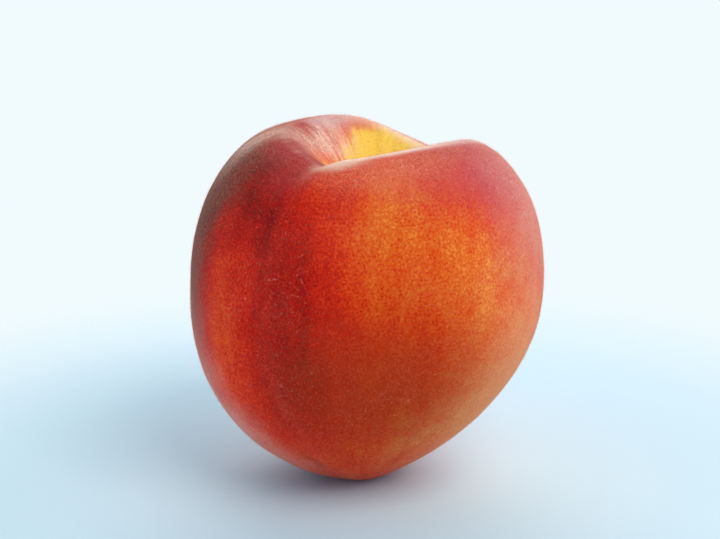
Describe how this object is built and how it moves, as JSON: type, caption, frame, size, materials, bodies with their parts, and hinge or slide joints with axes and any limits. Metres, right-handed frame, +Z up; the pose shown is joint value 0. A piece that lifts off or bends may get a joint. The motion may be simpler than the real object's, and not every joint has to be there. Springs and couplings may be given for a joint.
{
  "type": "peach",
  "caption": "Ripe downy peach with a blunt tip, a shallow suture groove and a deep stem cavity, standing on a small flat spot.",
  "frame": {"origin": "middle of the small flat spot under the tip, on the surface that the fruit stands on", "axes": "+Z up from that surface; +X towards the side that the fruit leans to; the suture groove faces between -X and -Y"},
  "size_m": [0.0743, 0.0748, 0.0768],
  "materials": {
    "peach_skin": "matte"
  },
  "bodies": {
    "root": {"peach": "peach_skin"}
  },
  "joints": []
}
